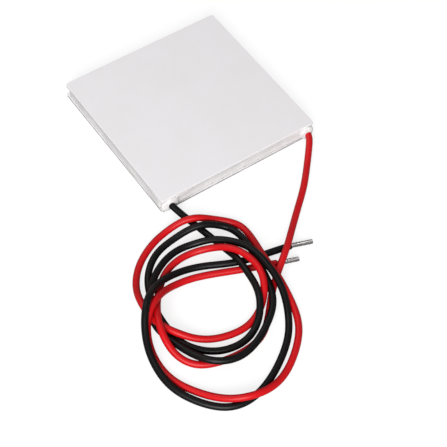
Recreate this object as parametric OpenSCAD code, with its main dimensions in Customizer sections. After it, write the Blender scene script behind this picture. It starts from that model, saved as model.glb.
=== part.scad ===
// Thermoelectric cooling module: two ceramic plates with a serpentine of
// pellets between them, a silicone seal round the edge and two flying leads.
// Millimetres. Origin at the middle of the hot (lower) face, +Z towards the
// cold (upper) face. The leads leave the front edge, on the -Y side.

/* [Module] */
// Side of the square module
module_w = 40; // [38:0.5:50]
// Thickness over both plates
module_t = 4; // [3.3:0.1:5]
// Radius of the plates' corners
corner_r = 0.5; // [0.2:0.1:1.5]

/* [Plates] */
// Thickness of each ceramic plate
plate_t = 0.8; // [0.6:0.05:0.9]

/* [Thermocouples] */
// Pellets along each side of the square array
grid_n = 16; // [8:2:16]
// Side of a square pellet
pellet_w = 1.4; // [0.8:0.1:1.5]
// Distance from the module's edge to the middle of the outer pellets
pellet_edge = 2.3; // [2.2:0.1:3]
// Thickness of the copper tabs
tab_t = 0.3; // [0.2:0.05:0.35]
// Width of the copper tabs
tab_w = 1.7; // [1.5:0.1:1.8]
// Thickness of the solder under and over each pellet
solder_t = 0.1; // [0.05:0.01:0.15]

/* [Seal] */
// How far the seal lies in from the plates' edges
seal_recess = 0.6; // [0.2:0.1:0.7]
// Width of the seal between the plates
seal_w = 0.6; // [0.3:0.05:0.6]
// Width of the drop of silicone round each lead's exit
bead_len = 3.6; // [2.8:0.1:4]
// How far that drop stands out past the plates' edges
bead_out = 0.7; // [0.3:0.1:0.9]

/* [Leads] */
// Outer diameter of the insulation
lead_d = 1.5; // [1.2:0.1:1.6]
// Diameter of the stranded conductor
wire_d = 0.9; // [0.5:0.05:1]
// Distance from each side edge to the lead beside it
lead_inset = 2; // [1.9:0.1:3]
// Length of bare conductor soldered to a terminal pad
bare_len = 2; // [1.5:0.1:2]
// Radius of the solder that holds a conductor on its pad
joint_r = 0.7; // [0.6:0.05:0.75]

/* [Hidden] */
$fn = 48;
half_w = module_w / 2;
cold_plate_z = module_t - plate_t;
gap_t = cold_plate_z - plate_t;
mid_z = module_t / 2;

// The array: columns run along Y, and the two front corner cells are empty.
pitch = (module_w - 2 * pellet_edge) / (grid_n - 1);
last = grid_n - 1;
hot_tab_z = plate_t;
cold_tab_z = cold_plate_z - tab_t;
hot_solder_z = hot_tab_z + tab_t;
cold_solder_z = cold_tab_z - solder_t;
pellet_z = hot_solder_z + solder_t;
pellet_h = cold_solder_z - pellet_z;

// The seal, and the inner end of each lead just inside it
seal_front = half_w - seal_recess;
seal_inside = seal_front - seal_w;
pad_clearance = 0.05;
lead_inner = half_w - pellet_edge + tab_w / 2 + pad_clearance;
lead_x = half_w - lead_inset;

// The drop at each exit is a cap of this ball, and the lead bends past it
bead_r = (pow(bead_len / 2, 2) + pow(bead_out, 2)) / (2 * bead_out);
exit_out = bead_out;
lead_sides = 8;
flat_turn = 180 / lead_sides;

// Middle line of each lead past its exit: x from the middle of the module,
// y from its front edge, z from the surface that it lies on. Each lead makes
// nearly four loose turns, and passes over what lies under it in low humps.
// The x and y are rounded to half a millimetre, and eased() evens that out.
black_points = [
    [-17, -4, 1.1], [-16, -8, 0.8], [-15, -12.5, 0.8], [-14.5, -16.5, 1.4],
    [-14.5, -20, 2.6], [-14.5, -24, 2.4], [-15.5, -28, 3.2], [-17, -31.5, 3.5],
    [-19.5, -34.5, 1.7], [-23, -36, 0.9], [-27, -36, 0.8], [-30.5, -34.5, 0.8],
    [-33, -32, 0.8], [-34.5, -29, 0.8], [-35, -25.5, 0.8], [-34.5, -20.5, 0.8],
    [-33.5, -16, 0.8], [-30.5, -11, 0.8], [-27, -9, 0.8], [-22.5, -7.5, 0.9],
    [-18.5, -8, 1.9], [-15.5, -9, 2.5], [-12.5, -10, 1.4], [-10.5, -12, 0.9],
    [-10, -15, 1.3], [-10.5, -18.5, 2.1], [-11, -21.5, 2.5], [-11.5, -24.5, 2.4],
    [-12.5, -28, 2.1], [-13.5, -31.5, 2.6], [-16, -34, 2.6], [-19, -36.5, 2.5],
    [-23, -38.5, 2.3], [-26.5, -39, 2.1], [-30, -38.5, 2.3], [-32.5, -36.5, 2.5],
    [-34.5, -33.5, 1.8], [-36, -28.5, 1.5], [-36.5, -25, 1.0], [-36.5, -22, 1.1],
    [-35, -18.5, 2.5], [-32.5, -16, 2.6], [-30, -13, 1.5], [-26, -11, 0.9],
    [-22.5, -10.5, 0.8], [-19, -11, 0.9], [-16, -13, 2.3], [-13.5, -15.5, 3.1],
    [-11.5, -19, 3.7], [-11, -22, 4.2], [-11, -26, 4.3], [-11, -29.5, 3.8],
    [-11.5, -32, 2.4], [-13, -36, 1.1], [-15.5, -39.5, 0.8], [-19, -42.5, 0.8],
    [-23, -45, 0.8], [-27.5, -47, 0.8], [-32, -47.5, 0.8], [-35.5, -46, 0.8],
    [-38, -43.5, 0.8], [-40.5, -40, 1.0], [-42, -36, 1.6], [-42, -32, 2.1],
    [-41, -27, 2.8], [-39.5, -24, 4.9], [-37, -21, 6.7], [-34.5, -18.5, 5.3],
    [-32, -17, 3.7], [-28.5, -15.5, 1.9], [-24, -15.5, 0.9], [-20, -17, 0.8],
    [-16, -19, 0.8], [-12, -20.5, 0.8], [-7, -21.5, 0.8], [-2.5, -22.5, 0.8],
];
black_tip = [2, -24, 0.6];
red_points = [
    [17.5, -2, 1.9], [16, -4, 1.5], [14, -6, 0.9], [11.5, -9, 0.8], [8.5, -12, 0.8],
    [5, -15, 0.8], [1.5, -18, 1.1], [-1, -20.5, 2.0], [-4, -23, 2.6],
    [-7, -25.5, 2.3], [-10, -27.5, 0.9], [-13, -30, 0.8], [-16.5, -34, 0.8],
    [-20, -37, 0.8], [-24, -38, 0.8], [-28.5, -37.5, 0.8], [-32, -37, 0.8],
    [-35, -35, 0.9], [-37, -32.5, 1.5], [-37.5, -29, 2.9], [-37, -25.5, 4.4],
    [-35.5, -22, 4.0], [-33, -19, 1.9], [-31, -16, 0.9], [-27.5, -13.5, 0.8],
    [-24, -12.5, 0.8], [-20, -13, 1.0], [-17, -14.5, 2.0], [-15, -17, 3.3],
    [-13.5, -19.5, 3.9], [-12.5, -23, 3.9], [-13, -27, 3.7], [-15, -30, 2.3],
    [-18, -32.5, 1.1], [-21.5, -33.5, 0.8], [-25.5, -33.5, 0.8], [-29, -32, 0.9],
    [-32, -30.5, 1.5], [-34.5, -28, 2.6], [-36, -25, 2.7], [-37, -21.5, 2.7],
    [-36.5, -17.5, 2.8], [-35, -13.5, 1.2], [-32.5, -10, 0.8], [-29, -7.5, 0.8],
    [-25.5, -6, 0.8], [-22, -5, 0.9], [-19, -5.5, 2.0], [-16, -6.5, 2.7],
    [-12.5, -8, 1.3], [-10, -10, 0.8], [-8.5, -12.5, 0.8], [-8, -15, 0.9],
    [-9, -18.5, 1.8], [-9.5, -22.5, 2.6], [-10, -26, 2.8], [-10, -29.5, 2.2],
    [-10.5, -33, 1.0], [-11.5, -36.5, 0.8], [-13, -39.5, 0.8], [-15.5, -42.5, 0.8],
    [-19, -45, 0.8], [-22.5, -47, 1.0], [-26.5, -48, 1.9], [-31, -47.5, 2.6],
    [-34, -45.5, 1.9], [-36.5, -42.5, 1.0], [-39, -39, 0.8], [-40.5, -35.5, 0.8],
    [-41, -32, 0.8], [-40.5, -27.5, 1.0], [-39, -24, 2.7], [-37, -22, 5.1],
    [-34, -20, 4.7], [-31, -18.5, 2.7], [-28, -17.5, 1.2], [-24.5, -18, 0.8],
    [-21, -19, 0.8], [-17.5, -20.5, 0.8], [-14, -22, 0.8], [-10, -23.5, 0.8],
    [-7.5, -24.5, 0.8],
];
red_tip = [-3, -26, 0.6];

// A point given from the front edge, in the module's own frame
function from_edge(p) = [p.x, p.y - half_w, p.z];

// Weights of the parabola through five neighbours, read at the middle one
ease_weights = [-3, 12, 17, 12, -3] / 35;

// A line with its x and y evened out past its exit; its turns stay as wide
function eased(line) =
    [for (i = [0 : len(line) - 1])
        i < 3 || i > len(line) - 3 ? line[i]
        : let (near = [for (k = [-2 : 2]) line[i + k]])
        let (even = ease_weights * near)
        [even.x, even.y, line[i].z]];

// A line with one point more in each bent span, on a smooth curve
function refined(line) =
    [for (i = [0 : len(line) - 1]) each
        i < 1 || i > len(line) - 3 ? [line[i]]
        : [line[i], (9 * (line[i] + line[i + 1]) - line[i - 1] - line[i + 2]) / 16]];

// A lead's whole middle line: straight out through the seal, then its points
function lead_route(x, points) = refined(eased(concat(
    [[x, -lead_inner, mid_z], [x, -half_w - exit_out, mid_z]],
    [for (p = points) from_edge(p)]
)));
black_route = lead_route(-lead_x, black_points);
red_route = lead_route(lead_x, red_points);

pellet_columns = [0 : grid_n / 2 - 1];

// ---- Helpers ----

function unit(v) = v / norm(v);

// Middle of the cell in column c and row r of the array
function cell(c, r) = [c * pitch - half_w + pellet_edge, r * pitch - half_w + pellet_edge];

// The two front corner cells hold the leads and no pellet
function has_pellet(c, r) = r > 0 || (c > 0 && c < last);

// Direction of a lead at its ring i: square to the seal at its first two
// rings and in line with the bare tip at its last
function heading(route, tip, i) =
    i < 2 ? [0, -1, 0]
    : i == len(route) - 1 ? unit(tip - route[i])
    : unit(route[i + 1] - route[i - 1]);

// One ring of the insulation round the middle line
function ring(centre, along) =
    let (side = unit(cross(along, [0, 0, 1])))
    let (up = cross(side, along))
    [for (k = [0 : lead_sides - 1])
        let (a = flat_turn + k * 360 / lead_sides)
        centre + lead_d / 2 * (cos(a) * side + sin(a) * up)];

function ring_points(route, tip) =
    [for (i = [0 : len(route) - 1]) each ring(route[i], heading(route, tip, i))];

// Side faces between ring i and the next, then the two end faces
function tube_faces(rings) = concat(
    [[for (k = [0 : lead_sides - 1]) k]],
    [for (i = [0 : rings - 2], k = [0 : lead_sides - 1])
        let (a = i * lead_sides)
        let (next = (k + 1) % lead_sides)
        [a + k, a + lead_sides + k, a + lead_sides + next, a + next]],
    [[for (k = [lead_sides - 1 : -1 : 0]) (rings - 1) * lead_sides + k]]
);

// A square with true round corners
module rounded_square(w, r) {
    square([w - 2 * r, w], center = true);
    square([w, w - 2 * r], center = true);
    for (x = [-1, 1], y = [-1, 1])
        translate([x * (w / 2 - r), y * (w / 2 - r)])
            circle(r);
}

// A bar along Y at a lead's height, from the inside to past its exit
module lead_passage(x, inner_y, outer_y) {
    translate([x, -inner_y, mid_z])
        rotate([90, 0, 0])
            linear_extrude(outer_y - inner_y)
                rotate(flat_turn)
                    circle(d = lead_d, $fn = lead_sides);
}

// A tab that joins the cells at a and b
module tab(a, b, z) {
    low = [min(a.x, b.x), min(a.y, b.y)];
    size = [abs(a.x - b.x), abs(a.y - b.y)];
    translate([low.x - tab_w / 2, low.y - tab_w / 2, z])
        cube([size.x + tab_w, size.y + tab_w, tab_t]);
}

// ---- Plates and seal ----

module plate(z) {
    color("whitesmoke")
        translate([0, 0, z])
            linear_extrude(plate_t)
                rounded_square(module_w, corner_r);
}

module cold_plate() {
    plate(cold_plate_z);
}

module hot_plate() {
    plate(0);
}

// Silicone between the plates, with a passage for each lead
module edge_seal() {
    outer_r = corner_r + seal_w;
    color("gainsboro")
        difference() {
            translate([0, 0, plate_t])
                linear_extrude(gap_t)
                    difference() {
                        rounded_square(2 * seal_front, outer_r);
                        rounded_square(2 * seal_inside, corner_r);
                    }
            for (side = [-1, 1])
                lead_passage(side * lead_x, lead_inner - seal_w, half_w);
        }
}

// Drop of the same silicone where a lead leaves: it fills the gap's mouth and
// swells over the edges of both plates
module exit_bead(side) {
    color("gainsboro")
        difference() {
            union() {
                translate([side * lead_x - bead_len / 2, -half_w, plate_t])
                    cube([bead_len, seal_recess, gap_t]);
                intersection() {
                    translate([side * lead_x, bead_r - bead_out - half_w, mid_z])
                        sphere(r = bead_r);
                    translate([-module_w, -2 * module_w - half_w, 0])
                        cube([2 * module_w, 2 * module_w, module_t]);
                }
            }
            lead_passage(side * lead_x, seal_inside, half_w + 2 * bead_out);
        }
}

module black_bead() {
    exit_bead(-1);
}

module red_bead() {
    exit_bead(1);
}

// ---- Leads ----

module insulation(route, tip) {
    polyhedron(points = ring_points(route, tip), faces = tube_faces(len(route)), convexity = 20);
}

// Tinned strands past the end of the insulation
module tip_end(route, tip) {
    start = route[len(route) - 1];
    reach = tip - start;
    color("silver")
        translate(start)
            rotate([0, acos(reach.z / norm(reach)), atan2(reach.y, reach.x)])
                cylinder(d = wire_d, h = norm(reach));
}

// Stripped strands inside the module, over the terminal pad
module bare_end(side) {
    color("silver")
        translate([side * lead_x, -lead_inner, mid_z])
            rotate([-90, 0, 0])
                cylinder(d = wire_d, h = bare_len);
}

// Solder that holds the stripped strands on the terminal pad
module lead_joint(side) {
    joint_len = bare_len - 2 * pad_clearance;
    color("silver")
        difference() {
            intersection() {
                translate([side * lead_x, pad_clearance - lead_inner, mid_z])
                    rotate([-90, 0, 0])
                        cylinder(r = joint_r, h = joint_len);
                translate([-half_w, -half_w, hot_solder_z])
                    cube([module_w, module_w, gap_t]);
            }
            bare_end(side);
        }
}

module black_lead() {
    color("#1C1E20")
        insulation(black_route, from_edge(black_tip));
}

module red_lead() {
    color("#C81419")
        insulation(red_route, from_edge(red_tip));
}

module black_tip_end() {
    tip_end(black_route, from_edge(black_tip));
}

module red_tip_end() {
    tip_end(red_route, from_edge(red_tip));
}

// ---- Thermocouples ----

// One pellet type in the two columns of pair i: 0 for P, 1 for N
module pellets(i, type) {
    for (c = [2 * i, 2 * i + 1], r = [0 : last])
        if (has_pellet(c, r) && (c + r + type) % 2 == 1)
            translate(concat(cell(c, r) - [pellet_w, pellet_w] / 2, pellet_z))
                cube([pellet_w, pellet_w, pellet_h]);
}

module p_pellets(i) {
    color("#6E6A66")
        pellets(i, 0);
}

module n_pellets(i) {
    color("#8A8680")
        pellets(i, 1);
}

// Tabs on the hot plate join rows 0-1, 2-3 and so on. The first of each
// outer column is the pad that its lead is soldered to.
module hot_tabs(i) {
    color("peru")
        for (c = [2 * i, 2 * i + 1], r = [0 : 2 : last])
            tab(cell(c, r), cell(c, r + 1), hot_tab_z);
}

// Tabs on the cold plate join rows 1-2, 3-4 and so on
module cold_tabs(i) {
    color("peru")
        for (c = [2 * i, 2 * i + 1], r = [1 : 2 : last - 1])
            tab(cell(c, r), cell(c, r + 1), cold_tab_z);
}

// Cold tabs that carry the chain from one column to the next
module cold_turn_tabs_rear() {
    color("peru")
        for (c = [0 : 2 : last])
            tab(cell(c, last), cell(c + 1, last), cold_tab_z);
}

module cold_turn_tabs_front() {
    color("peru")
        for (c = [1 : 2 : last - 1])
            tab(cell(c, 0), cell(c + 1, 0), cold_tab_z);
}

// Solder on one face of every pellet
module solder_layer(z) {
    color("silver")
        for (c = [0 : last], r = [0 : last])
            if (has_pellet(c, r))
                translate(concat(cell(c, r) - [pellet_w, pellet_w] / 2, z))
                    cube([pellet_w, pellet_w, solder_t]);
}

cold_plate();
hot_plate();
edge_seal();
black_bead();
red_bead();
black_lead();
red_lead();
black_tip_end();
red_tip_end();
bare_end(-1);  // black_bare_end
bare_end(1);  // red_bare_end
lead_joint(-1);  // black_joint
lead_joint(1);  // red_joint
cold_turn_tabs_rear();
cold_turn_tabs_front();
solder_layer(hot_solder_z);  // hot_solder
solder_layer(cold_solder_z);  // cold_solder
for (i = pellet_columns) {
    p_pellets(i);
    n_pellets(i);
    hot_tabs(i);
    cold_tabs(i);
}
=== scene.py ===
"""Looks of the thermoelectric cooling module: finishes, seal, leads, light and camera.

The CAD frame gives the boxes of the plates, the seal and the drops. The points
and sizes of the leads, the seal's wall and the corners are repeated here. This
script dresses the frame's own pieces, and replaces the plates, the seal, the
drops and the leads with finely shaped meshes in the same places.
"""
import logging
import math
from dataclasses import dataclass
from enum import Enum
from typing import Sequence

import bmesh
import bpy
import numpy as np
from mathutils import Matrix, Vector, noise


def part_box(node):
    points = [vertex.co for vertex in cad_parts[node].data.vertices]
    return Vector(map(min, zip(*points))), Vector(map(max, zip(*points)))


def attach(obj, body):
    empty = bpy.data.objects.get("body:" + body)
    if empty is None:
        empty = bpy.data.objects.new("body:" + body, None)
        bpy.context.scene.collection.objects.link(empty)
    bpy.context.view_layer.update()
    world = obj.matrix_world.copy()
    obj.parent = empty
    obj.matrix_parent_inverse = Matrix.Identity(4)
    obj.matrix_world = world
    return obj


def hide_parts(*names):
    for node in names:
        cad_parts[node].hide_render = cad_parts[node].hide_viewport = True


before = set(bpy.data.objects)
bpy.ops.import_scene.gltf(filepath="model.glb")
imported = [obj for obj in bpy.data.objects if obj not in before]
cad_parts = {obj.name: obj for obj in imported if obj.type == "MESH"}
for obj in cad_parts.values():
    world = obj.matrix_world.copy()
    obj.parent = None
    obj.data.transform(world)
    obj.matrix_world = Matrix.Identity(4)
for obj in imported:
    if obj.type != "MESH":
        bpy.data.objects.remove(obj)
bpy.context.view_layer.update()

LOG = logging.getLogger("module")
MM = 0.001
UP = Vector((0.0, 0.0, 1.0))
# The colour sockets of a Mix node, which share their names with other kinds.
MIX_A, MIX_B, MIX_RESULT = 6, 7, 2
Point = tuple[float, float, float]
Colour = tuple[float, float, float]


# ---------------------------------------------------------------- the leads' points

# Middle line of each lead past its exit, in millimetres: x from the middle of
# the module, y from its front edge, z from the surface that it lies on. They
# aren't a free choice: most are rounded picks along a line that a program
# relaxed. The tips are the far ends of the bare strands.
BLACK_POINTS: tuple[Point, ...] = (
    (-17, -4, 1.1), (-16, -8, 0.8), (-15, -12.5, 0.8), (-14.5, -16.5, 1.4),
    (-14.5, -20, 2.6), (-14.5, -24, 2.4), (-15.5, -28, 3.2), (-17, -31.5, 3.5),
    (-19.5, -34.5, 1.7), (-23, -36, 0.9), (-27, -36, 0.8), (-30.5, -34.5, 0.8),
    (-33, -32, 0.8), (-34.5, -29, 0.8), (-35, -25.5, 0.8), (-34.5, -20.5, 0.8),
    (-33.5, -16, 0.8), (-30.5, -11, 0.8), (-27, -9, 0.8), (-22.5, -7.5, 0.9),
    (-18.5, -8, 1.9), (-15.5, -9, 2.5), (-12.5, -10, 1.4), (-10.5, -12, 0.9),
    (-10, -15, 1.3), (-10.5, -18.5, 2.1), (-11, -21.5, 2.5), (-11.5, -24.5, 2.4),
    (-12.5, -28, 2.1), (-13.5, -31.5, 2.6), (-16, -34, 2.6), (-19, -36.5, 2.5),
    (-23, -38.5, 2.3), (-26.5, -39, 2.1), (-30, -38.5, 2.3), (-32.5, -36.5, 2.5),
    (-34.5, -33.5, 1.8), (-36, -28.5, 1.5), (-36.5, -25, 1.0), (-36.5, -22, 1.1),
    (-35, -18.5, 2.5), (-32.5, -16, 2.6), (-30, -13, 1.5), (-26, -11, 0.9),
    (-22.5, -10.5, 0.8), (-19, -11, 0.9), (-16, -13, 2.3), (-13.5, -15.5, 3.1),
    (-11.5, -19, 3.7), (-11, -22, 4.2), (-11, -26, 4.3), (-11, -29.5, 3.8),
    (-11.5, -32, 2.4), (-13, -36, 1.1), (-15.5, -39.5, 0.8), (-19, -42.5, 0.8),
    (-23, -45, 0.8), (-27.5, -47, 0.8), (-32, -47.5, 0.8), (-35.5, -46, 0.8),
    (-38, -43.5, 0.8), (-40.5, -40, 1.0), (-42, -36, 1.6), (-42, -32, 2.1),
    (-41, -27, 2.8), (-39.5, -24, 4.9), (-37, -21, 6.7), (-34.5, -18.5, 5.3),
    (-32, -17, 3.7), (-28.5, -15.5, 1.9), (-24, -15.5, 0.9), (-20, -17, 0.8),
    (-16, -19, 0.8), (-12, -20.5, 0.8), (-7, -21.5, 0.8), (-2.5, -22.5, 0.8),
)
BLACK_TIP: Point = (2, -24, 0.6)
RED_POINTS: tuple[Point, ...] = (
    (17.5, -2, 1.9), (16, -4, 1.5), (14, -6, 0.9), (11.5, -9, 0.8), (8.5, -12, 0.8),
    (5, -15, 0.8), (1.5, -18, 1.1), (-1, -20.5, 2.0), (-4, -23, 2.6),
    (-7, -25.5, 2.3), (-10, -27.5, 0.9), (-13, -30, 0.8), (-16.5, -34, 0.8),
    (-20, -37, 0.8), (-24, -38, 0.8), (-28.5, -37.5, 0.8), (-32, -37, 0.8),
    (-35, -35, 0.9), (-37, -32.5, 1.5), (-37.5, -29, 2.9), (-37, -25.5, 4.4),
    (-35.5, -22, 4.0), (-33, -19, 1.9), (-31, -16, 0.9), (-27.5, -13.5, 0.8),
    (-24, -12.5, 0.8), (-20, -13, 1.0), (-17, -14.5, 2.0), (-15, -17, 3.3),
    (-13.5, -19.5, 3.9), (-12.5, -23, 3.9), (-13, -27, 3.7), (-15, -30, 2.3),
    (-18, -32.5, 1.1), (-21.5, -33.5, 0.8), (-25.5, -33.5, 0.8), (-29, -32, 0.9),
    (-32, -30.5, 1.5), (-34.5, -28, 2.6), (-36, -25, 2.7), (-37, -21.5, 2.7),
    (-36.5, -17.5, 2.8), (-35, -13.5, 1.2), (-32.5, -10, 0.8), (-29, -7.5, 0.8),
    (-25.5, -6, 0.8), (-22, -5, 0.9), (-19, -5.5, 2.0), (-16, -6.5, 2.7),
    (-12.5, -8, 1.3), (-10, -10, 0.8), (-8.5, -12.5, 0.8), (-8, -15, 0.9),
    (-9, -18.5, 1.8), (-9.5, -22.5, 2.6), (-10, -26, 2.8), (-10, -29.5, 2.2),
    (-10.5, -33, 1.0), (-11.5, -36.5, 0.8), (-13, -39.5, 0.8), (-15.5, -42.5, 0.8),
    (-19, -45, 0.8), (-22.5, -47, 1.0), (-26.5, -48, 1.9), (-31, -47.5, 2.6),
    (-34, -45.5, 1.9), (-36.5, -42.5, 1.0), (-39, -39, 0.8), (-40.5, -35.5, 0.8),
    (-41, -32, 0.8), (-40.5, -27.5, 1.0), (-39, -24, 2.7), (-37, -22, 5.1),
    (-34, -20, 4.7), (-31, -18.5, 2.7), (-28, -17.5, 1.2), (-24.5, -18, 0.8),
    (-21, -19, 0.8), (-17.5, -20.5, 0.8), (-14, -22, 0.8), (-10, -23.5, 0.8),
    (-7.5, -24.5, 0.8),
)
RED_TIP: Point = (-3, -26, 0.6)


class Side(Enum):
    """Which side of the module a lead leaves from."""

    LEFT = -1
    RIGHT = 1


# ---------------------------------------------------------------- shader graph


class Sock:
    """A shader socket or a number that can be used in Python expressions."""

    def __init__(self, graph: "Graph", link: object) -> None:
        """Wraps an output socket or a number of the given graph."""
        self.graph = graph
        self.link = link

    def maths(self, operation: str, *terms: object) -> "Sock":
        """Adds a Math node that works on this value and the other terms."""
        values = {i: term for i, term in enumerate((self, *terms))}
        return self.graph.node("ShaderNodeMath", {"operation": operation}, values)

    def __add__(self, other: object) -> "Sock":
        """Sum."""
        return self.maths("ADD", other)

    __radd__ = __add__

    def __sub__(self, other: object) -> "Sock":
        """Difference."""
        return self.maths("SUBTRACT", other)

    def __rsub__(self, other: float) -> "Sock":
        """Difference with a number in front."""
        return Sock(self.graph, other).maths("SUBTRACT", self)

    def __mul__(self, other: object) -> "Sock":
        """Product."""
        return self.maths("MULTIPLY", other)

    __rmul__ = __mul__

    def clamped(self, low: float, high: float) -> "Sock":
        """This value stretched so that low becomes 0 and high becomes 1, and held there."""
        values = {"Value": self, "From Min": low, "From Max": high}
        return self.graph.node("ShaderNodeMapRange", {"clamp": True}, values, "Result")


class Graph:
    """The nodes of one material, with the few helpers that the finishes share."""

    def __init__(self, name: str) -> None:
        """Starts an empty material of that name."""
        self.material = bpy.data.materials.new(name)
        self.material.use_nodes = True
        self.tree = self.material.node_tree
        self.tree.nodes.clear()

    def node(
        self,
        kind: str,
        settings: dict[str, object] | None = None,
        values: dict[int | str, object] | None = None,
        output: int | str = 0,
    ) -> Sock:
        """Adds a node.

        Args:
            kind: The node's type.
            settings: Properties that are set before any socket.
            values: Numbers, colours or links, by the input's place or name.
            output: The output to hand back.

        Returns:
            That output, ready for expressions.
        """
        made = self.tree.nodes.new(kind)
        for key, value in (settings or {}).items():
            setattr(made, key, value)
        for key, value in (values or {}).items():
            self._fill(made.inputs[key], value)
        return Sock(self, made.outputs[output])

    def _fill(self, socket: bpy.types.NodeSocket, value: object) -> None:
        """Links or sets one input."""
        if isinstance(value, Sock):
            value = value.link
        if isinstance(value, bpy.types.NodeSocket):
            self.tree.links.new(value, socket)
        else:
            socket.default_value = value

    def place(self) -> Sock:
        """Object coordinates, in metres."""
        return self.node("ShaderNodeTexCoord", output="Object")

    def speckle(self, vector: Sock, per_mm: float, detail: float = 3.0, rough: float = 0.5) -> Sock:
        """Noise with about that many features to the millimetre."""
        values = {"Vector": vector, "Scale": per_mm / MM, "Detail": detail, "Roughness": rough}
        return self.node("ShaderNodeTexNoise", values=values)

    def blend(self, factor: object, first: object, second: object) -> Sock:
        """Mixes two colours by a factor."""
        values = {"Factor": factor, MIX_A: first, MIX_B: second}
        return self.node("ShaderNodeMix", {"data_type": "RGBA"}, values, MIX_RESULT)

    def bump(
        self, height: Sock, depth_mm: float, strength: float, under: Sock | None = None
    ) -> Sock:
        """A Bump node of that depth, over another one where given."""
        values: dict[int | str, object] = {
            "Height": height, "Distance": depth_mm * MM, "Strength": strength,
        }
        if under is not None:
            values["Normal"] = under
        return self.node("ShaderNodeBump", values=values)

    def finish(self, values: dict[str, object]) -> bpy.types.Material:
        """Ends the graph in one Principled shader and hands back the material."""
        shader = self.node("ShaderNodeBsdfPrincipled", values=values)
        self.node_output(shader)
        return self.material

    def node_output(self, surface: Sock) -> None:
        """Links a shader to the material's output."""
        out = self.tree.nodes.new("ShaderNodeOutputMaterial")
        self.tree.links.new(surface.link, out.inputs["Surface"])


def rgba(colour: Colour) -> tuple[float, float, float, float]:
    """An opaque colour."""
    return (*colour, 1.0)


def scaled(colour: Colour, factor: float) -> Colour:
    """A colour made darker or lighter."""
    return tuple(part * factor for part in colour)


# ---------------------------------------------------------------- finishes


@dataclass(frozen=True)
class CeramicFinish:
    """Fired alumina: pale, dense and nearly matte, with a faint cloudiness.

    The sides are broken along a scored line, so their lower part is rough.
    That part is also darkened with painted shade, where shadow falls along
    the plate's lower edge. The depth of that part is in millimetres, and the
    other measures are in metres.
    """

    name: str
    half: float
    score_z: float
    colour: Colour = (0.780, 0.757, 0.776)
    cloud: Colour = (0.762, 0.736, 0.752)
    # Painted shade: a darker band on the foot of each side, where the plate's edge meets the floor
    # or the seal.
    painted_shade: Colour = (0.34, 0.325, 0.32)
    score_depth: float = 0.45
    shade_strength: float = 1.0
    upright: float = 0.15
    roughness: float = 0.42

    def material(self) -> bpy.types.Material:
        """Builds the material."""
        g = Graph(self.name)
        at = g.place()
        cloud = g.speckle(at, 0.12, 4.0, 0.6).clamped(0.40, 0.72)
        grain = g.speckle(at, 6.0, 4.0, 0.6)
        pits = g.speckle(at, 2.6, 2.0).clamped(0.66, 0.74)
        scored_and_shaded = self._scored_and_shaded(g, at)
        tone = g.blend(cloud, rgba(self.colour), rgba(self.cloud))
        tone = g.blend(pits * 0.30, tone, rgba(scaled(self.colour, 0.86)))
        # Painted shade along the foot of each side, standing in for the shadow at the plate's lower
        # edge.
        tone = g.blend(scored_and_shaded * self.shade_strength, tone, rgba(self.painted_shade))
        relief = g.bump(grain - pits * 0.8, 0.012, 0.5)
        relief = g.bump(scored_and_shaded, 0.05, 0.6, relief)
        return g.finish({
            "Base Color": tone,
            "Roughness": grain * 0.16 + (self.roughness - 0.08) + cloud * 0.06 + scored_and_shaded * 0.2,
            "Normal": relief,
            "Specular IOR Level": 0.45,
        })

    def _scored_and_shaded(self, g: Graph, at: Sock) -> Sock:
        """Where the sides are scored and darkened with painted shade, from 0 to 1.

        Args:
            g: The material's graph.
            at: Object coordinates.

        Returns:
            A factor broken into fine upright marks.
        """
        parts = g.node("ShaderNodeSeparateXYZ", values={0: at}).link.node.outputs
        x, y, z = (Sock(g, part) for part in parts)
        reach = x.maths("ABSOLUTE").maths("MAXIMUM", y.maths("ABSOLUTE"))
        side = reach.clamped(self.half - 0.12 * MM, self.half - 0.06 * MM)
        top = self.score_z + self.score_depth * MM
        low = z.clamped(self.score_z - 0.10 * MM, self.score_z + 0.04 * MM)
        high = z.clamped(top - 0.05 * MM, top + 0.08 * MM)
        stretch = {0: at, 1: (1, 1, self.upright)}
        upright = g.node("ShaderNodeVectorMath", {"operation": "MULTIPLY"}, stretch)
        marks = g.speckle(upright, 4.0, 3.0, 0.7).clamped(0.32, 0.56)
        patches = g.speckle(at, 0.25, 2.0).clamped(0.30, 0.55)
        return side * low * (1 - high) * (marks * 0.55 + 0.45) * (patches * 0.5 + 0.5)


@dataclass(frozen=True)
class SiliconeFinish:
    """White silicone sealant: soft, slightly warm, with faint wipe marks."""

    colour: Colour = (0.74, 0.722, 0.72)
    dull: Colour = (0.68, 0.662, 0.658)
    roughness: float = 0.5

    def material(self) -> bpy.types.Material:
        """Builds the material."""
        g = Graph("silicone")
        at = g.place()
        patches = g.speckle(at, 0.35, 3.0, 0.6).clamped(0.35, 0.7)
        grain = g.speckle(at, 3.5, 4.0, 0.65)
        lumps = g.speckle(at, 0.9, 2.0)
        relief = g.bump(lumps, 0.06, 0.7)
        relief = g.bump(grain, 0.015, 0.5, relief)
        return g.finish({
            "Base Color": g.blend(patches, rgba(self.colour), rgba(self.dull)),
            "Roughness": grain * 0.25 + (self.roughness - 0.12),
            "Normal": relief,
        })


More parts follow.
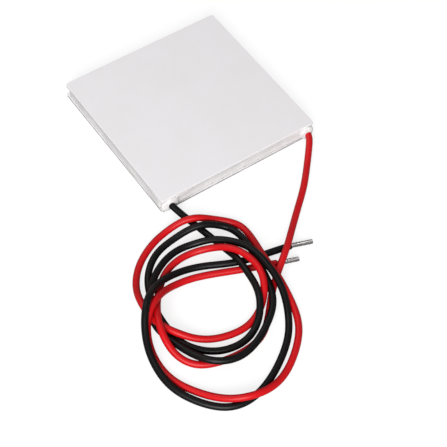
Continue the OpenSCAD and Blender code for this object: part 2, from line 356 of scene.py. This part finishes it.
@dataclass(frozen=True)
class InsulationFinish:
    """Soft extruded lead insulation with fine draw marks and a little dust."""

    name: str
    colour: Colour
    worn: Colour
    gloss: float
    roughness: float = 0.38
    draw: float = 0.4

    def material(self) -> bpy.types.Material:
        """Builds the material. The UV map runs along the lead, in millimetres, and round it."""
        g = Graph(self.name)
        at = g.place()
        uv = g.node("ShaderNodeUVMap", {"uv_map": "along"})
        split = g.node("ShaderNodeSeparateXYZ", values={0: uv})
        along = Sock(g, split.link.node.outputs[0])
        turn = Sock(g, split.link.node.outputs[1]) * math.tau
        ring = {0: along * 0.12, 1: turn.maths("COSINE"), 2: turn.maths("SINE")}
        around = g.node("ShaderNodeCombineXYZ", values=ring)
        drawn = g.node("ShaderNodeTexNoise", values={"Vector": around, "Scale": 5.0, "Detail": 3.0})
        tone = g.speckle(at, 0.22, 2.0).clamped(0.3, 0.7)
        scuff = (g.speckle(at, 1.4, 5.0, 0.7).clamped(0.60, 0.78)) * 0.5
        dust = g.speckle(at, 5.0, 2.0).clamped(0.70, 0.76)
        colour = g.blend(tone * 0.55, rgba(self.colour), rgba(scaled(self.colour, 0.80)))
        colour = g.blend(scuff + dust * 0.25, colour, rgba(self.worn))
        relief = g.bump(drawn, 0.02, self.draw)
        relief = g.bump(g.speckle(at, 4.0, 3.0), 0.008, 0.5, relief)
        return g.finish({
            "Base Color": colour,
            "Roughness": scuff * 0.25 + drawn * 0.12 + (self.roughness - 0.06),
            "Normal": relief,
            "Specular IOR Level": self.gloss,
        })


@dataclass(frozen=True)
class MetalFinish:
    """A satin metal with fine grain and duller patches."""

    name: str
    colour: Colour
    dull: Colour
    roughness: float
    grain_per_mm: float = 4.0
    metallic: float = 1.0

    def material(self) -> bpy.types.Material:
        """Builds the material."""
        g = Graph(self.name)
        at = g.place()
        patches = g.speckle(at, 0.8, 3.0, 0.6).clamped(0.35, 0.7)
        grain = g.speckle(at, self.grain_per_mm, 4.0, 0.6)
        return g.finish({
            "Base Color": g.blend(patches, rgba(self.colour), rgba(self.dull)),
            "Metallic": self.metallic,
            "Roughness": grain * 0.2 + patches * 0.1 + (self.roughness - 0.12),
            "Normal": g.bump(grain, 0.01, 0.5),
        })


@dataclass(frozen=True)
class FloorFinish:
    """A grey surface, lifted to white for the camera, that keeps a soft shadow."""

    colour: Colour = (0.28, 0.28, 0.28)
    lift: float = 0.76

    def material(self) -> bpy.types.Material:
        """Builds the material. The lift shows to the camera only."""
        g = Graph("floor_white")
        path = g.node("ShaderNodeLightPath").link.node
        seen = Sock(g, path.outputs["Is Camera Ray"])
        diffuse = g.node("ShaderNodeBsdfDiffuse", values={"Color": rgba(self.colour)})
        glow = g.node("ShaderNodeEmission", values={"Strength": self.lift})
        lifted = g.node("ShaderNodeAddShader", values={0: diffuse, 1: glow})
        g.node_output(g.node("ShaderNodeMixShader", values={0: seen, 1: diffuse, 2: lifted}))
        return g.material


# ---------------------------------------------------------------- mesh helpers


def new_piece(name: str, mesh: bpy.types.Mesh, material: bpy.types.Material) -> bpy.types.Object:
    """Links a mesh as a piece of the module, dressed in one material."""
    mesh.materials.clear()
    mesh.materials.append(material)
    piece = bpy.data.objects.new(name, mesh)
    bpy.context.scene.collection.objects.link(piece)
    return piece


def mesh_from(bm: bmesh.types.BMesh, name: str) -> bpy.types.Mesh:
    """Ends a bmesh as a smooth mesh with its faces turned outwards."""
    bmesh.ops.recalc_face_normals(bm, faces=bm.faces)
    mesh = bpy.data.meshes.new(name)
    for face in bm.faces:
        face.smooth = True
    bm.to_mesh(mesh)
    bm.free()
    return mesh


def skin(
    bm: bmesh.types.BMesh, rings: Sequence[Sequence[bmesh.types.BMVert]], closed: bool = False
) -> None:
    """Joins rings of equal length with quads, and the last to the first where closed."""
    pairs = list(zip(rings, rings[1:]))
    if closed:
        pairs.append((rings[-1], rings[0]))
    for low, high in pairs:
        count = len(low)
        for k in range(count):
            bm.faces.new((low[k], low[(k + 1) % count], high[(k + 1) % count], high[k]))


def rumple(at: Vector, per_mm: float, seed: float) -> float:
    """Smooth noise from -1 to 1 at a place in metres."""
    return noise.noise(at * (per_mm / MM) + Vector((seed, 1.7 * seed, -seed)))


def dress(nodes: Sequence[str], material: bpy.types.Material) -> None:
    """Gives the frame's own pieces one material."""
    for name in nodes:
        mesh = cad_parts[name].data
        mesh.materials.clear()
        mesh.materials.append(material)
    LOG.info("%s: %d pieces dressed", material.name, len(nodes))


def settle(piece: bpy.types.Object, node: str) -> None:
    """Ties a finished piece to the body and hides the CAD solid it replaces."""
    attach(piece, "root")
    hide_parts(node)


@dataclass
class Outline:
    """A square outline with round corners, walked from the middle of the front edge."""

    half: float
    corner: float
    per_side: int = 96
    per_corner: int = 10

    def points(self) -> list[tuple[Vector, Vector]]:
        """Places and outward directions along the outline.

        Returns:
            Pairs of a point and its unit direction outwards, at z = 0.
        """
        flat = self.half - self.corner
        found: list[tuple[Vector, Vector]] = []
        for quarter in range(4):
            turn = Matrix.Rotation(quarter * math.pi / 2, 3, "Z")
            for k in range(self.per_side):
                x = flat * (2 * k / self.per_side - 1)
                found.append((turn @ Vector((x, -self.half, 0)), turn @ Vector((0, -1, 0))))
            for k in range(self.per_corner):
                a = math.pi / 2 * k / self.per_corner
                out = Vector((math.sin(a), -math.cos(a), 0))
                middle = Vector((flat, -flat, 0))
                found.append((turn @ (middle + out * self.corner), turn @ out))
        return found


# ---------------------------------------------------------------- plates and seal


@dataclass
class Plate:
    """One ceramic plate with eased, slightly chipped edges."""

    node: str
    corner: float = 0.5 * MM
    ease: float = 0.07 * MM
    chip: float = 0.10 * MM
    grain: float = 0.006 * MM
    seed: float = 3.0

    def build(self, material: bpy.types.Material) -> bpy.types.Object:
        """Makes the plate in place of its CAD solid.

        Args:
            material: The ceramic finish.

        Returns:
            The finished piece.
        """
        low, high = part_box(self.node)
        outline = Outline(high.x, self.corner).points()
        bm = bmesh.new()
        rings = []
        # Height and inset of the rings over an eased edge, as shares of its size.
        eased = ((0.0, 1.0), (0.3, 0.3), (1.0, 0.0))
        steps = [(low.z, lift, inset) for lift, inset in eased]
        steps += [(high.z, -lift, inset) for lift, inset in reversed(eased)]
        for z, lift, inset in steps:
            ring = []
            for at, out in outline:
                place = at + UP * z
                depth = self.ease * inset + self._chipped(place) * (0.3 + 0.7 * inset)
                ring.append(bm.verts.new(at - out * depth + UP * (z + lift * self.ease)))
            rings.append(ring)
        skin(bm, rings)
        bm.faces.new(rings[0])
        bm.faces.new(rings[-1])
        mesh = mesh_from(bm, f"{self.node}_fired")
        for face in mesh.polygons:
            # The quads are the rounded sides, and the rest are the two flat faces.
            face.use_smooth = len(face.vertices) == 4
        piece = new_piece(f"{self.node}_fired", mesh, material)
        settle(piece, self.node)
        return piece

    def _chipped(self, at: Vector) -> float:
        """How far a small chip reaches in from the edge at that place."""
        fine = max(0.0, rumple(at, per_mm=0.9, seed=self.seed) - 0.30)
        slow = 0.5 + 0.5 * rumple(at, per_mm=0.06, seed=self.seed + 9)
        grain = self.grain * rumple(at, per_mm=2.0, seed=self.seed)
        return self.chip * min(1.0, 2.4 * fine) * slow + grain


@dataclass
class EdgeSeal:
    """Silicone run into the gap between the plates, by hand and not quite even."""

    node: str = "edge_seal"
    corner: float = 1.1 * MM
    inner_corner: float = 0.5 * MM
    wall: float = 0.6 * MM
    wander: float = 0.16 * MM
    ripple: float = 0.05 * MM
    hollow: float = 0.14 * MM
    fullness: float = 0.40 * MM
    full_at_lead: float = 0.32 * MM
    lead_reach: float = 4.2 * MM
    levels: int = 9
    per_side: int = 160
    per_corner: int = 10

    def build(self, material: bpy.types.Material, lead_x: float) -> bpy.types.Object:
        """Makes the seal in place of its CAD solid.

        Args:
            material: The silicone finish.
            lead_x: Distance of each lead from the middle.

        Returns:
            The finished piece.
        """
        low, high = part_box(self.node)
        steps = (self.per_side, self.per_corner)
        outer = Outline(high.x, self.corner, *steps).points()
        inner = Outline(high.x - self.wall, self.inner_corner, *steps).points()
        bm = bmesh.new()
        rings = []
        for level in range(self.levels):
            share = level / (self.levels - 1)
            z = low.z + (high.z - low.z) * share
            # The silicone clings to both plates and hollows between them.
            cling = (2 * share - 1) ** 2
            ring = []
            for at, out in outer:
                place = at + UP * z
                reach = self.fullness + self.wander * rumple(place, per_mm=0.16, seed=21.0)
                reach += self.ripple * rumple(place, per_mm=0.5, seed=5.0)
                reach += self.hollow * (cling - 0.5)
                reach += self.full_at_lead * self._near_lead(at, lead_x, low.y)
                ring.append(bm.verts.new(place + out * reach))
            rings.append(ring)
        for z in (high.z, low.z):
            rings.append([bm.verts.new(at + UP * z) for at, _ in inner])
        skin(bm, rings, closed=True)
        piece = new_piece("edge_seal_bead", mesh_from(bm, "edge_seal_bead"), material)
        settle(piece, self.node)
        return piece

    def _near_lead(self, at: Vector, lead_x: float, front: float) -> float:
        """1 beside a lead's exit, falling to 0 away from it."""
        gap = math.hypot(abs(at.x) - lead_x, at.y - front)
        return math.exp(-((gap / self.lead_reach) ** 2))


@dataclass
class ExitBead:
    """The drop of silicone that holds a lead where it leaves the module.

    The shift is in millimetres from the CAD solid's middle, the swell a share
    of its half sizes, and the taper the power that rounds each axis.
    """

    side: Side
    shift: Point
    swell: Point
    taper: Point = (0.98, 0.72, 0.72)
    uneven: float = 0.16 * MM
    segments: int = 64
    rows: int = 40

    def build(self, material: bpy.types.Material) -> bpy.types.Object:
        """Makes the drop in place of its CAD solid.

        Args:
            material: The silicone finish.

        Returns:
            The finished piece.
        """
        colour = "black" if self.side is Side.LEFT else "red"
        bm = bmesh.new()
        bmesh.ops.create_uvsphere(bm, u_segments=self.segments, v_segments=self.rows, radius=1.0)
        low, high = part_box(f"{colour}_bead")
        middle = (low + high) / 2 + Vector(self.shift) * MM
        radii = [(b - a) / 2 * share for a, b, share in zip(low, high, self.swell)]
        for vert in bm.verts:
            out = vert.co.copy()
            # Flattened like a wiped drop: fuller than a ball out of the module
            # and up and down, but tapering along the edge.
            full = Vector((math.copysign(abs(c) ** power, c) for c, power in zip(out, self.taper)))
            spot = middle + Vector(c * r for c, r in zip(full, radii))
            lumps = rumple(spot, per_mm=0.7, seed=31.0)
            lumps += 0.3 * rumple(spot, per_mm=2.1, seed=7.0)
            vert.co = spot + out * self.uneven * lumps
        name = f"{colour}_bead_blob"
        piece = new_piece(name, mesh_from(bm, name), material)
        settle(piece, f"{colour}_bead")
        return piece


# ---------------------------------------------------------------- leads


@dataclass
class Lead:
    """An insulated lead that lies in loose loops, with its tinned end."""

    colour: str
    side: Side
    points: tuple[Point, ...]
    tip: Point
    insulation: float = 1.5 * MM
    wire: float = 0.95 * MM
    inner_y: float = -18.6 * MM
    exit_y: float = -20.7 * MM
    exit_z: float = 2.0 * MM
    lead_x: float = 18.0 * MM
    uneven: float = 0.012
    per_point: int = 6
    sides: int = 20

    def route(self) -> list[Vector]:
        """The lead's own points in metres: straight out, then along the surface."""
        x = self.side.value * self.lead_x
        start = [Vector((x, self.inner_y, self.exit_z)), Vector((x, self.exit_y, self.exit_z))]
        return start + [self._placed(point) for point in self.points]

    @staticmethod
    def _placed(point: Point) -> Vector:
        """A point counted from the module's front edge in millimetres, in metres."""
        x, y, z = point
        return Vector((x * MM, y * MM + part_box("cold_plate")[0].y, z * MM))

    def line(self) -> list[Vector]:
        """A smooth middle line through the eased points.

        Returns:
            Points close together, from inside the module to the cut end.
        """
        eased = ease_route(self.route())
        fine: list[Vector] = []
        ends = [2 * eased[0] - eased[1], *eased, 2 * eased[-1] - eased[-2]]
        for i in range(1, len(ends) - 2):
            for k in range(self.per_point):
                fine.append(catmull(ends[i - 1:i + 3], k / self.per_point))
        fine.append(eased[-1])
        return relaxed(fine, self.per_point + 1)

    def build(self, finish: bpy.types.Material, tinned: bpy.types.Material) -> bpy.types.Object:
        """Makes the insulation and its bare end in place of their CAD solids.

        Args:
            finish: The insulation's finish.
            tinned: The strands' finish.

        Returns:
            The insulation.
        """
        line = self.line()
        tip = TinnedEnd(f"{self.colour}_tip", line[-1], self._placed(self.tip), self.wire)
        strands = tip.build(tinned, f"{self.colour}_tip_end")
        mesh = self._tube(line)
        piece = new_piece(f"{self.colour}_insulation", mesh, finish)
        settle(piece, f"{self.colour}_lead")
        return piece

    def _tube(self, line: list[Vector]) -> bpy.types.Mesh:
        """Sweeps the insulation along its line, with a cut end that shows the strands.

        Args:
            line: The middle line.

        Returns:
            A closed mesh with the UV map "along".
        """
        bm = bmesh.new()
        uv = bm.loops.layers.uv.new("along")
        r = self.insulation / 2
        stations = [(p, tangent_at(line, i), r) for i, p in enumerate(line)]
        end, along, _ = stations.pop()
        lip = 0.12 * MM
        # The cut end: distance before the end, and radius there.
        cut = (
            (lip, r), (0.04 * MM, r - 0.03 * MM), (0.0, r - 0.10 * MM),
            (0.0, self.wire / 2 + 0.06 * MM), (2 * lip, self.wire / 2 + 0.02 * MM),
        )
        stations += [(end - along * before, along, radius) for before, radius in cut]
        rings = []
        travelled = [0.0]
        for before, here in zip(stations, stations[1:]):
            travelled.append(travelled[-1] + (here[0] - before[0]).length)
        for place, heading, radius in stations:
            side = heading.cross(UP).normalized()
            rise = side.cross(heading)
            thick = radius * (1 + self.uneven * rumple(place, per_mm=0.25, seed=13.0))
            ring = []
            for k in range(self.sides):
                a = math.tau * k / self.sides
                out = side * math.cos(a) + rise * math.sin(a)
                ring.append(bm.verts.new(place + out * thick))
            rings.append(ring)
        skin(bm, rings)
        bm.faces.new(rings[0])
        bm.faces.new(rings[-1])
        bm.verts.index_update()
        for face in bm.faces:
            rows = [loop.vert.index // self.sides for loop in face.loops]
            turns = [loop.vert.index % self.sides for loop in face.loops]
            wraps = max(turns) - min(turns) > self.sides / 2 and len(turns) == 4
            for loop, row, turn in zip(face.loops, rows, turns):
                around = (turn + (self.sides if wraps and turn == 0 else 0)) / self.sides
                loop[uv].uv = (travelled[row] / MM, around)
        return mesh_from(bm, f"{self.colour}_insulation")


def ease_route(route: list[Vector]) -> list[Vector]:
    """Evens out the rounding of a route's x and y, and keeps its loops as wide as they are.

    Args:
        route: The lead's own points.

    Returns:
        As many points. The first three and the last two stay. Each other one lies
        on the parabola that best fits the five points around it.
    """
    weights = (-3 / 35, 12 / 35, 17 / 35, 12 / 35, -3 / 35)
    eased = [p.copy() for p in route]
    for i in range(3, len(route) - 2):
        near = route[i - 2:i + 3]
        eased[i].x = sum(w * p.x for w, p in zip(weights, near))
        eased[i].y = sum(w * p.y for w, p in zip(weights, near))
    return eased


def relaxed(
    line: list[Vector], straight: int, level_passes: int = 12, passes: int = 150
) -> list[Vector]:
    """Takes the small waves out of a line, as stiff wire does.

    In x and y each pass pulls the points together and then lets them out
    again, which keeps the turns as wide as they are.

    Args:
        line: Points close together.
        straight: How many points at the start stay where they are.
        level_passes: Passes over the heights, which only pull together.
        passes: Passes over x and y.

    Returns:
        As many points.
    """
    at = np.array([tuple(p) for p in line])
    free = slice(straight, -1)
    pull_in, let_out = 0.25, -0.2525
    flat = (passes, [0, 1], (pull_in, let_out))
    heights = (level_passes, [2], (pull_in,))
    for count, axes, pulls in (flat, heights):
        for _ in range(count):
            for pull in pulls:
                part = at[:, axes]
                bend = part[straight - 1:-2] - 2 * part[free] + part[straight + 1:]
                part[free] += pull * bend
                at[:, axes] = part
    return [Vector(p) for p in at]


def catmull(p: Sequence[Vector], t: float) -> Vector:
    """A point between the second and third of four, on a Catmull-Rom curve."""
    a = 2 * p[1]
    b = (p[2] - p[0]) * t
    c = (2 * p[0] - 5 * p[1] + 4 * p[2] - p[3]) * t * t
    d = (3 * p[1] - p[0] - 3 * p[2] + p[3]) * t ** 3
    return (a + b + c + d) / 2


def tangent_at(line: Sequence[Vector], i: int) -> Vector:
    """Unit direction of a line at one of its points."""
    return (line[min(i + 1, len(line) - 1)] - line[max(i - 1, 0)]).normalized()


@dataclass
class TinnedEnd:
    """Twisted strands fused by a thin coat of solder.

    The lay and the strand are radii, as shares of the wire's width.
    """

    name: str
    start: Vector
    end: Vector
    wire: float
    strands: int = 7
    turns: float = 0.7
    lay: float = 0.35
    strand: float = 0.19
    rows: int = 60
    strand_sides: int = 10
    core_sides: int = 16

    def build(self, material: bpy.types.Material, node: str) -> bpy.types.Object:
        """Makes the strands by Geometry Nodes, then freezes them in place.

        Args:
            material: The tinned finish.
            node: The CAD solid that they stand for.

        Returns:
            The finished piece.
        """
        reach = self.end - self.start
        holder = bpy.data.objects.new(self.name + "_maker", bpy.data.meshes.new("empty"))
        bpy.context.scene.collection.objects.link(holder)
        modifier = holder.modifiers.new("twist", "NODES")
        tree = self._tree(material)
        modifier.node_group = tree
        sizes = {
            "Length": reach.length, "Lay Radius": self.wire * self.lay,
            "Strand Radius": self.wire * self.strand, "Turns": self.turns, "Strands": self.strands,
        }
        for item in tree.interface.items_tree:
            if item.in_out == "INPUT" and item.name in sizes:
                modifier[item.identifier] = sizes[item.name]
        graph = bpy.context.evaluated_depsgraph_get()
        made = bpy.data.meshes.new_from_object(holder.evaluated_get(graph))
        bpy.data.objects.remove(holder)
        turn = reach.to_track_quat("Z", "Y").to_matrix().to_4x4()
        made.transform(Matrix.Translation(self.start) @ turn)
        bm = bmesh.new()
        bm.from_mesh(made)
        piece = new_piece(self.name, mesh_from(bm, self.name), material)
        settle(piece, node)
        return piece

    def _tree(self, material: bpy.types.Material) -> bpy.types.NodeTree:
        """Builds the node tree of the twist.

        Args:
            material: The tinned finish.

        Returns:
            A tree with named inputs for its sizes.
        """
        tree = bpy.data.node_groups.new(self.name + "_twist", "GeometryNodeTree")
        face = tree.interface
        face.new_socket("Geometry", in_out="OUTPUT", socket_type="NodeSocketGeometry")
        for name in ("Length", "Lay Radius", "Strand Radius", "Turns"):
            face.new_socket(name, in_out="INPUT", socket_type="NodeSocketFloat")
        face.new_socket("Strands", in_out="INPUT", socket_type="NodeSocketInt")

        def add(
            kind: str, links: dict[int | str, object] | None = None, **settings: object
        ) -> bpy.types.Node:
            """Adds a node, sets it and fills its inputs."""
            made = tree.nodes.new(kind)
            for key, value in settings.items():
                setattr(made, key, value)
            for key, value in (links or {}).items():
                if isinstance(value, bpy.types.NodeSocket):
                    tree.links.new(value, made.inputs[key])
                else:
                    made.inputs[key].default_value = value
            return made

        def maths(operation: str, *terms: object) -> bpy.types.NodeSocket:
            """Adds a Math node."""
            return add("ShaderNodeMath", dict(enumerate(terms)), operation=operation).outputs[0]

        def swept(curve: bpy.types.NodeSocket, radius: object, sides: int) -> bpy.types.NodeSocket:
            """Adds a round bar along a curve, with closed ends."""
            circle = {"Resolution": sides, "Radius": radius}
            section = add("GeometryNodeCurvePrimitiveCircle", circle).outputs[0]
            bar = {"Curve": curve, "Profile Curve": section, "Fill Caps": True}
            return add("GeometryNodeCurveToMesh", bar).outputs[0]

        given = add("NodeGroupInput").outputs
        far = add("ShaderNodeCombineXYZ", {"Z": given["Length"]}).outputs[0]
        straight = add("GeometryNodeCurvePrimitiveLine", {"End": far}).outputs[0]
        sampled = {"Curve": straight, "Count": self.rows}
        fine = add("GeometryNodeResampleCurve", sampled).outputs[0]
        share = add("GeometryNodeSplineParameter").outputs["Factor"]
        angle = maths("MULTIPLY", maths("MULTIPLY", share, given["Turns"]), math.tau)
        # The strands draw together over the last part of the end.
        narrow = add(
            "ShaderNodeMapRange",
            {"Value": share, "From Min": 0.9, "From Max": 1.0, "To Min": 1.0, "To Max": 0.94},
        ).outputs[0]
        lay = maths("MULTIPLY", given["Lay Radius"], narrow)
        across = maths("MULTIPLY", lay, maths("COSINE", angle))
        up = maths("MULTIPLY", lay, maths("SINE", angle))
        aside = add("ShaderNodeCombineXYZ", {"X": across, "Y": up}).outputs[0]
        twisted = add("GeometryNodeSetPosition", {"Geometry": fine, "Offset": aside}).outputs[0]
        strand = swept(twisted, given["Strand Radius"], self.strand_sides)
        spots = add("GeometryNodePoints", {"Count": given["Strands"]}).outputs[0]
        step = maths("DIVIDE", math.tau, given["Strands"])
        index = add("GeometryNodeInputIndex").outputs[0]
        spin = add("ShaderNodeCombineXYZ", {"Z": maths("MULTIPLY", index, step)})
        laid = add(
            "GeometryNodeInstanceOnPoints",
            {"Points": spots, "Instance": strand, "Rotation": spin.outputs[0]},
        ).outputs[0]
        core = swept(fine, given["Lay Radius"], self.core_sides)
        both = add("GeometryNodeJoinGeometry")
        tree.links.new(core, both.inputs[0])
        tree.links.new(laid, both.inputs[0])
        real = add("GeometryNodeRealizeInstances", {"Geometry": both.outputs[0]}).outputs[0]
        dressed = add("GeometryNodeSetMaterial", {"Geometry": real, "Material": material})
        tree.links.new(dressed.outputs[0], add("NodeGroupOutput").inputs[0])
        return tree


# ---------------------------------------------------------------- studio


@dataclass
class Studio:
    """Camera, floor, lamps and world.

    Angles are in degrees, the lens and sensor in millimetres, and places and
    other sizes in metres.
    """

    azimuth: float = -36.194
    elevation: float = 53.851
    roll: float = 2.117
    distance: float = 277.03 * MM
    target: Point = (-10.649 * MM, -29.496 * MM, 0.0)
    lens: float = 105.05
    sensor: float = 36.0
    floor_half: float = 1.5
    world_light: float = 0.39
    key_place: Point = (-0.10, 0.22, 0.46)
    key_size: float = 0.34
    key_light: float = 0.222
    fill_place: Point = (-0.38, -0.49, 0.35)
    fill_size: float = 0.42
    fill_light: float = 1.33

    def build(self) -> None:
        """Sets up everything that isn't part of the module."""
        self._camera()
        self._floor()
        self._world()
        self._lamp("key", self.key_place, self.key_size, self.key_light)
        self._lamp("fill", self.fill_place, self.fill_size, self.fill_light)
        scene = bpy.context.scene
        scene.view_settings.view_transform = "Standard"

    def _camera(self) -> None:
        """Places the camera at its angle, distance and roll."""
        a, e, r = (math.radians(v) for v in (self.azimuth, self.elevation, self.roll))
        back = Vector((math.sin(a) * math.cos(e), -math.cos(a) * math.cos(e), math.sin(e)))
        level = UP.cross(back).normalized()
        rise = back.cross(level)
        right = level * math.cos(r) + rise * math.sin(r)
        up = rise * math.cos(r) - level * math.sin(r)
        data = bpy.data.cameras.new("camera")
        data.lens = self.lens
        data.sensor_width = self.sensor
        data.clip_start = 0.01
        data.clip_end = 10.0
        camera = bpy.data.objects.new("camera", data)
        bpy.context.scene.collection.objects.link(camera)
        turn = Matrix((right, up, back)).transposed().to_4x4()
        camera.matrix_world = Matrix.Translation(Vector(self.target) + back * self.distance) @ turn
        bpy.context.scene.camera = camera

    def _floor(self) -> None:
        """Lays the floor under the module."""
        mesh = bpy.data.meshes.new("floor")
        s = self.floor_half
        mesh.from_pydata([(-s, -s, 0), (s, -s, 0), (s, s, 0), (-s, s, 0)], [], [(0, 1, 2, 3)])
        floor = bpy.data.objects.new("floor", mesh)
        bpy.context.scene.collection.objects.link(floor)
        mesh.materials.append(FloorFinish().material())

    def _world(self) -> None:
        """Lights the module evenly, with a pale grey view past the floor's edge."""
        world = bpy.data.worlds.new("studio")
        world.use_nodes = True
        tree = world.node_tree
        tree.nodes.clear()
        path = tree.nodes.new("ShaderNodeLightPath").outputs["Is Camera Ray"]
        strength = tree.nodes.new("ShaderNodeMapRange")
        strength.inputs["To Min"].default_value = self.world_light
        strength.inputs["To Max"].default_value = 1.0
        tree.links.new(path, strength.inputs["Value"])
        glow = tree.nodes.new("ShaderNodeBackground")
        tree.links.new(strength.outputs[0], glow.inputs["Strength"])
        tree.links.new(glow.outputs[0], tree.nodes.new("ShaderNodeOutputWorld").inputs["Surface"])
        bpy.context.scene.world = world

    def _lamp(self, name: str, place: Point, size: float, level: float) -> None:
        """Adds a soft square lamp.

        Args:
            name: The lamp's name.
            place: Where it stands, in metres.
            size: Its side, in metres.
            level: How bright it makes a white face turned to it, where 1 is white.
        """
        data = bpy.data.lights.new(name, "AREA")
        data.size = size
        aim = Vector(self.target) - Vector(place)
        data.energy = level * math.pi ** 2 * aim.length_squared
        lamp = bpy.data.objects.new(name, data)
        bpy.context.scene.collection.objects.link(lamp)
        turn = aim.to_track_quat("-Z", "Y").to_matrix().to_4x4()
        lamp.matrix_world = Matrix.Translation(Vector(place)) @ turn


# ---------------------------------------------------------------- main


def report(piece: bpy.types.Object) -> None:
    """Logs a piece's name and its count of faces."""
    LOG.info("%s: %d faces", piece.name, len(piece.data.polygons))


def main() -> None:
    """Builds the studio, the leads, the plates with their seal, and dresses the inside."""
    logging.basicConfig(level=logging.INFO, format="%(message)s")
    Studio().build()
    strands = MetalFinish("tinned_strands", (0.44, 0.42, 0.42), (0.30, 0.285, 0.285), 0.36)
    tinned = strands.material()
    black = InsulationFinish(
        "black_insulation", (0.0032, 0.0030, 0.0032), worn=(0.018, 0.0165, 0.0175), gloss=0.20
    )
    red = InsulationFinish(
        "red_insulation", (0.54, 0.0035, 0.0068), worn=(0.58, 0.018, 0.021), gloss=0.24
    )
    leads = (
        Lead("black", Side.LEFT, BLACK_POINTS, BLACK_TIP),
        Lead("red", Side.RIGHT, RED_POINTS, RED_TIP),
    )
    for lead, finish in zip(leads, (black, red)):
        report(lead.build(finish.material(), tinned))
    silicone = SiliconeFinish().material()
    # Node, seed of its chips, height of the scored band in millimetres, how strong the painted
    # shade on that band is.
    plates = (("cold_plate", 3.0, 0.16, 0.45), ("hot_plate", 11.0, 0.50, 1.0))
    for node, seed, depth, strength in plates:
        low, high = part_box(node)
        score_z = low.z + 0.06 * MM
        ceramic = CeramicFinish(
            f"{node}_alumina", high.x, score_z, score_depth=depth, shade_strength=strength
        )
        report(Plate(node, seed=seed).build(ceramic.material()))
    report(EdgeSeal().build(silicone, leads[0].lead_x))
    report(ExitBead(Side.LEFT, (0.05, 0.10, -0.18), (1.26, 1.30, 0.88)).build(silicone))
    report(ExitBead(Side.RIGHT, (0.0, -0.12, 0.10), (0.90, 1.42, 0.88)).build(silicone))
    dress_inside(tinned)


def dress_inside(tinned: bpy.types.Material) -> None:
    """Gives the sealed-in pieces their own finishes.

    Args:
        tinned: The finish of the stripped strands.
    """
    copper = MetalFinish("copper_tabs", (0.72, 0.36, 0.22), (0.55, 0.27, 0.17), 0.36).material()
    solder = MetalFinish("solder", (0.58, 0.57, 0.56), (0.44, 0.43, 0.42), 0.38).material()
    p_alloy = MetalFinish("p_alloy", (0.30, 0.29, 0.28), (0.22, 0.21, 0.20), 0.5, 7.0).material()
    n_alloy = MetalFinish("n_alloy", (0.38, 0.37, 0.35), (0.28, 0.27, 0.26), 0.46, 7.0).material()
    nodes = sorted(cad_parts)
    dress([n for n in nodes if "tabs" in n], copper)
    dress([n for n in nodes if "solder" in n or "joint" in n], solder)
    dress([n for n in nodes if n.startswith("p_pellets")], p_alloy)
    dress([n for n in nodes if n.startswith("n_pellets")], n_alloy)
    dress([n for n in nodes if n.endswith("bare_end")], tinned)


if __name__ == "__main__":
    main()
